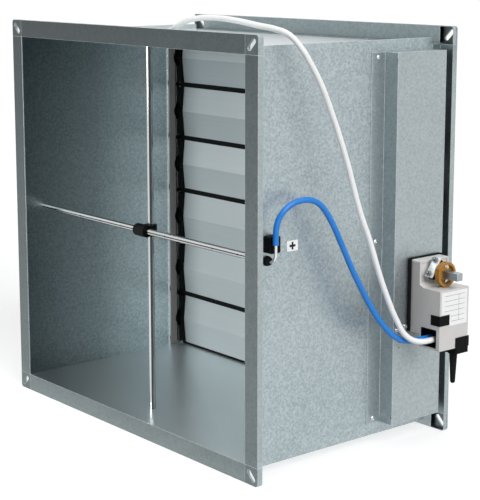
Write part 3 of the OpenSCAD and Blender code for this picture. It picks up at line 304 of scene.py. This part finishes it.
# The rear rails: painted shade at the top, and on their legs on the top sheet, with painted
# highlights along the edges
rear_rail_zinc = finish("galvanised_rail_painted_shade", ("#98a3a5", "#b4bec0"), (0.34, 0.46), 1.0,
                        (3, 3, 3), "SPANGLE", 120, 0.4, 0.02, "#d5dbdc", 0.7,
                        painted_shades=(PaintedShade(("#ffffff", "#dadedf"), "Z", (250, 310)),
                               PaintedShade(("#c4c8ca", "#c4c8ca"), "Y", (0, 400), (302,), "Z", 1.2)))
# Pressed corner pieces: zinc with painted shade on their faces, deepest at the top and in the rear
# recess, and painted highlights along the edges
corner_zinc = finish("galvanised_pressed_corner", ("#98a3a5", "#b4bec0"), (0.32, 0.44), 1.0,
                     (3, 3, 3), "SPANGLE", 60, 0.3, 0.02, "#b9c1c3", 0.7,
                     painted_shades=(PaintedShade(("#a8aaab", "#808282"), "Z", (-330, 330), (0, 405, 407)),))
# Folded cover sheet, from another coil, with painted highlights along its edges
cover_zinc = finish("galvanised_cover_sheet", ("#99a3a6", "#b4bdc0"), (0.34, 0.46), 1.0,
                    (3, 3, 3), "SPANGLE", 180, 0.35, 0.02, "#e2e7e8", 0.9)
# Extruded aluminium blades, mill finish: faint die lines along the blade, drawn at 2 mm so that
# they show, painted shade on the upper ones' half below the axis, and painted shade that darkens
# the row a little towards the top and the bottom, with painted highlights along the edges
blade_aluminium = finish("mill_finish_aluminium_blade", ("#c5cdcf", "#d0d7d9"), (0.4, 0.5),
                         0.3, (900, 2, 2), "NOISE", 200, 0.3, 0.005, "#e6eaeb", 0.5,
                         painted_shades=(PaintedShade(("#fdfdfd", "#e4e7e8"), "Z", (-150, 50),
                                     (225, 125, 25, -75, -175, -275), "Z", 25),
                                PaintedShade(("#eef0f0", "#fafbfb"), "Z", (-110, -60)),
                                PaintedShade(("#ffffff", "#eceeef"), "Z", (50, 250))))
# Drawn aluminium tube: bright and smooth, so that it mirrors in lines along its length. The
# upright one has a painted dark reflection in a stripe down its side
striped_aluminium = finish("striped_aluminium_tube", ("#c3c5c5", "#d2d4d4"), (0.08, 0.14), 1.0,
                           (3, 3, 3), "NOISE", 90, 0.6, 0.0,
                           painted_shades=(PaintedShade(("#55585a", "#55585a"), "Z", (-300, 300),
                                       (3.8,), "X", 0.9),))
# The same on the level tube, with painted shade along its middle line, in the groove on its front
# and rear
grooved_aluminium = finish("grooved_aluminium_tube", ("#c3c5c5", "#d2d4d4"), (0.1, 0.16), 1.0,
                           (3, 3, 3), "NOISE", 90, 0.6, 0.0,
                           painted_shades=(PaintedShade(("#4a4c4d", "#4a4c4d"), "X", (-300, 300),
                                       (0,), "Z", 0.9),))
# Polished bent tube of the two elbows, the brightest metal here
elbow_metal = finish("polished_elbow_tube", ("#e2e2e1", "#f1f0ef"), (0.14, 0.2), 1.0,
                     (3, 3, 3), "NOISE", 40, 0.5, 0.0)
# Bright zinc plate on screws and rivets: it mirrors, with a faint mottle drawn at 1.5 mm so that
# it shows, and painted highlights along its edges
zinc_plate = finish("bright_zinc_plate", ("#a9afb1", "#d3d8d9"), (0.18, 0.34), 0.9,
                    (1.5, 1.5, 1.5), "NOISE", 12, 0.4, 0.02, "#f4f6f6", 0.5)
# The same on the clamp's plate, painted whiter as the lit copy of it, and less mirroring, with
# painted highlights along its edges
white_plate = finish("white_zinc_plate", ("#f2f4f5", "#fbfcfc"), (0.2, 0.3), 0.5,
                     (1.5, 1.5, 1.5), "NOISE", 12, 0.4, 0.02, "#ffffff", 0.4)
# U-bolt and nuts: zinc plate painted darker as the shaded copy of it, with painted highlights along
# the edges
shaded_plate = finish("zinc_plate_painted_shade", ("#4e5456", "#8d9496"), (0.2, 0.34), 0.9,
                     (1.5, 1.5, 1.5), "NOISE", 8, 0.4, 0.02, "#e4e8e8", 0.4)
# Bare cold-drawn square steel bar: a satin metal with drawing lines along it, at 1 mm so that
# they show, and painted highlights along its edges
spindle_steel = finish("cold_drawn_steel_bar", ("#8f999e", "#b9c2c6"), (0.25, 0.4), 0.9,
                       (60, 1, 1), "NOISE", 30, 0.3, 0.02, "#e8ecee", 0.7)
# Folded zinc strip of the side seal channels: bright, with painted highlights along its lips
channel_zinc = finish("polished_seal_channel", ("#dfe5e6", "#eef2f2"), (0.16, 0.24), 1.0,
                      (2.5, 2.5, 2.5), "NOISE", 90, 0.3, 0.01, "#ffffff", 0.8)
# Pile of the side seals: matt and worn to a grey-brown, its tufts drawn at 1.5 mm
seal_pile = finish("grey_brown_seal_pile", ("#8d8785", "#a39d9b"), (0.7, 0.85), 0.0,
                   (1.5, 1.5, 1.5), "NOISE", 40, 0.3, 0.06, gleam=0.2)
# Extruded EPDM rubber: dull black, with a faint grain drawn at 1.2 mm so that it shows
seal_rubber = finish("extruded_rubber_seal", ("#060707", "#101112"), (0.7, 0.85), 0.0,
                     (1.2, 1.2, 1.2), "NOISE", 20, 0.3, 0.03, gleam=0.15)
# Glass-filled nylon of gears, caps and bushes: black, with the grain of its mould drawn at 1 mm
# so that it shows, and painted highlights along its edges
black_nylon = finish("moulded_black_nylon", ("#050506", "#0e0f10"), (0.5, 0.65), 0.0,
                     (1, 1, 1), "NOISE", 30, 0.3, 0.03, "#212426", 0.5, gleam=0.08)
# Moulded housing: light grey with a spark-eroded texture, drawn at 0.8 mm so that it shows, its
# side under painted shade that deepens towards the wall, with painted highlights along its edges
grey_plastic = finish("moulded_grey_housing", ("#cdcbc9", "#d9d7d5"), (0.45, 0.55), 0.0,
                      (0.8, 0.8, 0.8), "NOISE", 40, 0.25, 0.02, "#e6e5e4", 0.8,
                      painted_shades=(PaintedShade(("#e3dfdc", "#fffcfa"), "X", (345, 385), (309.5,)),))
# Moulded indicator ring: orange-brown, with a satin gloss and painted highlights along its edges
ring_plastic = finish("moulded_orange_ring", ("#8a5a12", "#bd8423"), (0.28, 0.4), 0.0,
                      (1.5, 1.5, 1.5), "NOISE", 18, 0.3, 0.02, "#d9ab4c", 0.6, gleam=0.4)
# Bare white film of the label and the mark: smooth, with a soft sheen
label_film = finish("white_label_film", ("#f4f5f5", "#fafbfb"), (0.4, 0.5), 0.0,
                    (2, 2, 2), "NOISE", 30, 0.3, 0.01)
# Printing ink of the mark: black, without gloss
print_ink = finish("black_printing_ink", ("#060606", "#101010"), (0.5, 0.6), 0.0,
                   (1, 1, 1), "NOISE", 10, 0.3, 0.01, gleam=0.3)
# The same ink, printed as a thin grey screen
grey_ink = finish("grey_printing_ink", ("#8a8b8b", "#9c9d9d"), (0.5, 0.6), 0.0,
                  (1, 1, 1), "NOISE", 10, 0.3, 0.01)
# Soft PVC hose, blue: a smooth extruded skin with a satin gloss
blue_pvc = finish("extruded_blue_soft_pvc", ("#1476cf", "#1f88e2"), (0.3, 0.4), 0.0,
                  (3, 3, 3), "NOISE", 30, 0.4, 0.01)
# The same in white
white_pvc = finish("extruded_white_soft_pvc", ("#f5f6f6", "#fcfcfc"), (0.32, 0.42), 0.0,
                   (3, 3, 3), "NOISE", 30, 0.4, 0.01)

NODE_FINISHES = {
    "left_wall": left_zinc, "right_wall": casing_zinc, "top_wall": top_zinc,
    "floor_wall": floor_zinc, "front_rails": rail_zinc, "rear_rails": rear_rail_zinc,
    "front_corners": corner_zinc, "rear_corners": corner_zinc, "blade_bushes": black_nylon,
    "side_seal_channels": channel_zinc, "side_seals": seal_pile, "seam_pads": seal_rubber,
    "gear_cover": cover_zinc, "cover_rivets": zinc_plate, "cover_screws": zinc_plate,
    "drive_spindle": spindle_steel, "clamp_plate": white_plate,
    "clamp_bolt_and_nuts": shaded_plate, "indicator_ring": ring_plastic,
    "controller_base": seal_rubber, "controller_housing": grey_plastic,
    "label_plate": label_film, "edge_clip": black_nylon, "hose_inlet": black_nylon,
    "cable_gland": black_nylon, "cable_boot": seal_rubber, "level_tube": grooved_aluminium,
    "upright_tube": striped_aluminium, "tube_crosspiece": black_nylon,
    "tube_holder": black_nylon, "tube_grommets": seal_rubber, "side_elbow": elbow_metal,
    "top_elbow": elbow_metal, "blue_hose": blue_pvc, "white_hose": white_pvc}
BLADES = 6
for number in range(1, BLADES + 1):
    NODE_FINISHES[f"blade_{number}"] = blade_aluminium
    NODE_FINISHES[f"edge_seals_{number}"] = seal_rubber
    NODE_FINISHES[f"end_caps_{number}"] = black_nylon
    NODE_FINISHES[f"gear_{number}"] = black_nylon


def dress(piece, material):
    """Gives a piece or a CAD node one finish all over."""
    if not piece.data.materials:
        piece.data.materials.append(material)
    for held in piece.material_slots:
        held.material = material


for node_name, material in NODE_FINISHES.items():
    dress(nodes[node_name], material)
dress(blue_tube, blue_pvc)
dress(white_tube, white_pvc)


# Small trim that the frame leaves to this script


def settle(name, mesh, material, body):
    """Makes an object of a bmesh whose place is in its mesh, and seats it on a body."""
    bmesh.ops.recalc_face_normals(mesh, faces=mesh.faces)
    data = bpy.data.meshes.new(name)
    mesh.to_mesh(data)
    mesh.free()
    piece = bpy.data.objects.new(name, data)
    bpy.context.scene.collection.objects.link(piece)
    dress(piece, material)
    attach(piece, body)


def thicken(mesh, faces, shift):
    """Extrudes faces by a shift."""
    grown = bmesh.ops.extrude_face_region(mesh, geom=faces)["geom"]
    bmesh.ops.translate(mesh, vec=shift, verts=[
        item for item in grown if isinstance(item, bmesh.types.BMVert)])


def spun(points, closed, axis, centre, steps):
    """A mesh of a line through points, spun round an axis."""
    mesh = bmesh.new()
    verts = [mesh.verts.new(point) for point in points]
    for low, high in zip(verts, verts[1:] + verts[:1] if closed else verts[1:]):
        mesh.edges.new((low, high))
    bmesh.ops.spin(mesh, geom=mesh.verts[:] + mesh.edges[:], axis=axis, cent=centre,
                   angle=math.tau, steps=steps, use_merge=True)
    return mesh


def pour(mesh, target):
    """Adds a mesh to another and frees it."""
    data = bpy.data.meshes.new("poured")
    mesh.to_mesh(data)
    mesh.free()
    target.from_mesh(data)
    bpy.data.meshes.remove(data)


# A sheet drawn flat in X and Y then stands up and faces +X
FACE_RIGHT = Matrix(((0, 0, 1), (1, 0, 0), (0, 1, 0)))
CORNER_STEPS = 4


def upright_sheet(across, high, thick, corner, place):
    """A thin sheet facing +X with round corners, whose rear face's middle is at a place."""
    mesh = bmesh.new()
    bmesh.ops.create_grid(mesh, x_segments=1, y_segments=1, size=0.5)
    bmesh.ops.scale(mesh, vec=(across, high, 1), verts=mesh.verts)
    bmesh.ops.bevel(mesh, geom=mesh.verts[:], offset=corner, offset_type="OFFSET",
                    segments=CORNER_STEPS, profile=0.5, affect="VERTICES", material=-1)
    thicken(mesh, mesh.faces[:], (0, 0, thick))
    bmesh.ops.rotate(mesh, matrix=FACE_RIGHT, verts=mesh.verts)
    bmesh.ops.translate(mesh, vec=place, verts=mesh.verts)
    return mesh


# Pressure mark on the right wall beside the hose: a bare white square with a plus of two bars,
# of which the upright one is a little thinner, so that their faces don't coincide
WALL_X = 301 * MM
MARK_Y = 90 * MM
MARK_Z = 16 * MM
MARK_W = 21.5 * MM
MARK_H = 16 * MM
MARK_T = 0.2 * MM
MARK_CORNER = 1.5 * MM
PLUS_L = 11.5 * MM
PLUS_W = 3.4 * MM
PLUS_CORNER = 0.2 * MM
UPRIGHT_SHARE = 0.9
mark = upright_sheet(MARK_W, MARK_H, MARK_T, MARK_CORNER, (WALL_X, MARK_Y, MARK_Z))
settle("pressure_mark", mark, label_film, "casing")
plus_place = (WALL_X + MARK_T, MARK_Y, MARK_Z)
plus = upright_sheet(PLUS_L, PLUS_W, MARK_T, PLUS_CORNER, plus_place)
pour(upright_sheet(PLUS_W, PLUS_L, MARK_T * UPRIGHT_SHARE, PLUS_CORNER, plus_place), plus)
settle("pressure_plus", plus, print_ink, "casing")

# Toothed black jaw between the clamp's plate and the spindle, whose black is also painted shade
# between the plate and the ring: an outline across the clamp, out from the spindle's axis, both in
# millimetres, extruded along X
SPINDLE_PLACE = Vector((0, 342, -50))
CLAMP_TURN = math.radians(145)
JAW_X = (358.2, 367.8)
JAW_HALF = 16.5
JAW_OUT = (9.0, 16.7)
TOOTH_H = 1.2
TEETH = 11
tooth_half = JAW_HALF / TEETH
jaw_outline = [(-JAW_HALF + k * tooth_half, JAW_OUT[0] + TOOTH_H * (k % 2))
               for k in range(2 * TEETH + 1)]
jaw_outline += [(JAW_HALF, JAW_OUT[1]), (-JAW_HALF, JAW_OUT[1])]
jaw = bmesh.new()
jaw_side = jaw.faces.new([
    jaw.verts.new(SPINDLE_PLACE * MM + Vector((
        JAW_X[0],
        out * math.cos(CLAMP_TURN) - across * math.sin(CLAMP_TURN),
        out * math.sin(CLAMP_TURN) + across * math.cos(CLAMP_TURN))) * MM)
    for across, out in jaw_outline])
thicken(jaw, [jaw_side], ((JAW_X[1] - JAW_X[0]) * MM, 0, 0))
settle("clamp_jaw_teeth", jaw, black_nylon, "damper_4")

# Ribbed rubber plug in the level tube's end, which the side elbow comes out of: its radii and
# places along X in millimetres
PLUG_PROFILE = [
    (5.1, 303.6), (6.6, 303.6), (6.6, 304.1), (6.1, 304.3), (6.1, 304.5), (6.6, 304.7),
    (6.6, 305.2), (6.1, 305.4), (6.1, 305.6), (6.6, 305.8), (6.6, 306.7), (6.0, 307.2),
    (2.6, 307.2), (2.6, 304.7), (5.1, 304.7)]
PLUG_STEPS = 24
TUBE_PLACE = Vector((0, 40, 0)) * MM
plug = spun([(along * MM, TUBE_PLACE.y, radius * MM) for radius, along in PLUG_PROFILE],
            True, (1, 0, 0), TUBE_PLACE, PLUG_STEPS)
settle("tube_end_plug", plug, seal_rubber, "casing")

# Press-joint buttons that hold the flange rails' legs to the walls, on all four sides of both
# flanges. The profile gives shares of the button's radius and height
CLINCH_R = 2.6 * MM
CLINCH_H = 0.5 * MM
CLINCH_PROFILE = [(1.0, 0.0), (0.85, 0.9), (0.6, 1.0), (0.45, 0.7)]
CLINCH_STEPS = 16
CLINCH_PITCH = 110 * MM
CLINCH_SHIFT = 37 * MM
CLINCH_ROW = range(-2, 3)
LEG_FACE = 302 * MM
LEG_MIDDLES = (19 * MM, 389 * MM)
SIDES = range(4)
button = spun([(radius * CLINCH_R, 0, height * CLINCH_H) for radius, height in CLINCH_PROFILE],
              False, (0, 0, 1), (0, 0, 0), CLINCH_STEPS)
bmesh.ops.holes_fill(button, edges=[edge for edge in button.edges if edge.is_boundary], sides=0)
button_data = bpy.data.meshes.new("button")
button.to_mesh(button_data)
button.free()
clinches = bmesh.new()
for side in SIDES:
    turn = Matrix.Rotation(side * math.pi / 2, 4, "Y")
    for depth in LEG_MIDDLES:
        for step in CLINCH_ROW:
            fresh = len(clinches.verts)
            clinches.from_mesh(button_data)
            clinches.verts.ensure_lookup_table()
            place = Matrix.Translation((step * CLINCH_PITCH + CLINCH_SHIFT, depth, LEG_FACE))
            bmesh.ops.transform(clinches, matrix=turn @ place, verts=clinches.verts[fresh:])
settle("rail_clinches", clinches, rail_zinc, "casing")

# Thin grey rules of an empty table on the label: each one's middle in Y and Z, and its length
# level and upright, in millimetres
LABEL_X = 395.4 * MM
RULE_T = 0.05 * MM
RULE_W = 0.6 * MM
RULE_CORNER = 0.1 * MM
RULES = [(342, -79, 46, 0), (342, -87, 46, 0), (342, -95, 46, 0), (342, -103, 46, 0),
         (350, -112, 30, 0), (350, -120, 30, 0), (352, -99.5, 0, 41)]
rules = bmesh.new()
for middle, height, across, tall in RULES:
    pour(upright_sheet(max(across * MM, RULE_W), max(tall * MM, RULE_W), RULE_T, RULE_CORNER,
                       (LABEL_X, middle * MM, height * MM)), rules)
settle("label_rules", rules, grey_ink, "casing")


# Stage: pale floor, white surroundings, soft suns and one lamp into the inlet

WHITE = (1, 1, 1, 1)
FLOOR_HALF = 120

floor_mesh = bpy.data.meshes.new("floor")
plane = bmesh.new()
bmesh.ops.create_grid(plane, x_segments=1, y_segments=1, size=FLOOR_HALF)
bmesh.ops.translate(plane, vec=(0, 0, cad_low.z), verts=plane.verts)
plane.to_mesh(floor_mesh)
plane.free()
floor = bpy.data.objects.new("floor", floor_mesh)
bpy.context.scene.collection.objects.link(floor)


def shows_background(tree):
    """1 for the rays that show the surroundings: camera, glossy and transmission."""
    path = add(tree, "ShaderNodeLightPath")
    seen = add(tree, "ShaderNodeMath", links={
        0: path.outputs["Is Camera Ray"], 1: path.outputs["Is Glossy Ray"]}, operation="MAXIMUM")
    return add(tree, "ShaderNodeMath", links={
        0: seen.outputs[0], 1: path.outputs["Is Transmission Ray"]},
        operation="MAXIMUM").outputs[0]


FLOOR_COLOUR = "#b3b4b4"
FLOOR_GLOW = 0.64
floor_paint = bpy.data.materials.new("pale_floor")
floor_paint.use_nodes = True
floor_tree = floor_paint.node_tree
floor_tree.nodes.clear()
matt = add(floor_tree, "ShaderNodeBsdfDiffuse", {"Color": linear(FLOOR_COLOUR)})
lift = add(floor_tree, "ShaderNodeMath", {1: FLOOR_GLOW}, {0: shows_background(floor_tree)},
           operation="MULTIPLY")
glow = add(floor_tree, "ShaderNodeEmission", {"Color": WHITE}, {"Strength": lift.outputs[0]})
both = add(floor_tree, "ShaderNodeAddShader",
           links={0: matt.outputs[0], 1: glow.outputs[0]})
add(floor_tree, "ShaderNodeOutputMaterial", links={"Surface": both.outputs[0]})
floor.data.materials.append(floor_paint)

WORLD_LIGHT = 0.15
world = bpy.data.worlds.new("studio")
bpy.context.scene.world = world
world.use_nodes = True
world.node_tree.nodes.clear()
sky_level = add(world.node_tree, "ShaderNodeMapRange",
                {"To Min": WORLD_LIGHT, "To Max": 1.0},
                {"Value": shows_background(world.node_tree)})
sky = add(world.node_tree, "ShaderNodeBackground", {"Color": WHITE},
          {"Strength": sky_level.outputs["Result"]})
add(world.node_tree, "ShaderNodeOutputWorld", links={"Surface": sky.outputs[0]})


def lamp(name, kind, energy, towards, place=(0, 0, 0)):
    """A lamp at a place, with the direction towards it from what it lights. Gives its data."""
    data = bpy.data.lights.new(name, kind)
    data.energy = energy
    piece = bpy.data.objects.new(name, data)
    piece.location = place
    piece.rotation_mode = "QUATERNION"
    piece.rotation_quaternion = Vector(towards).to_track_quat("Z", "Y")
    bpy.context.scene.collection.objects.link(piece)
    return data


def sun(name, towards, level, softness):
    """A sun softness degrees wide, which gives a white face square on a level."""
    lamp(name, "SUN", level * math.pi, towards).angle = math.radians(softness)


sun("key", (0.80, -0.15, 0.58), 0.80, 40)
sun("top", (-0.25, 0.1, 0.95), 0.25, 60)

INLET_LAMP_PLACE = Vector((-0.4, -2.0, 0.3))
INLET_LAMP_AIM = Vector((0.0, 0.342, -0.18))
INLET_LAMP_WATTS = 2.65
INLET_LAMP_SIZE = 0.6
INLET_LAMP_SPREAD = math.radians(50)
inlet_lamp = lamp("inlet", "AREA", INLET_LAMP_WATTS, INLET_LAMP_PLACE - INLET_LAMP_AIM,
                  INLET_LAMP_PLACE)
inlet_lamp.shape = "SQUARE"
inlet_lamp.size = INLET_LAMP_SIZE
inlet_lamp.spread = INLET_LAMP_SPREAD

bpy.context.scene.view_settings.view_transform = "Standard"
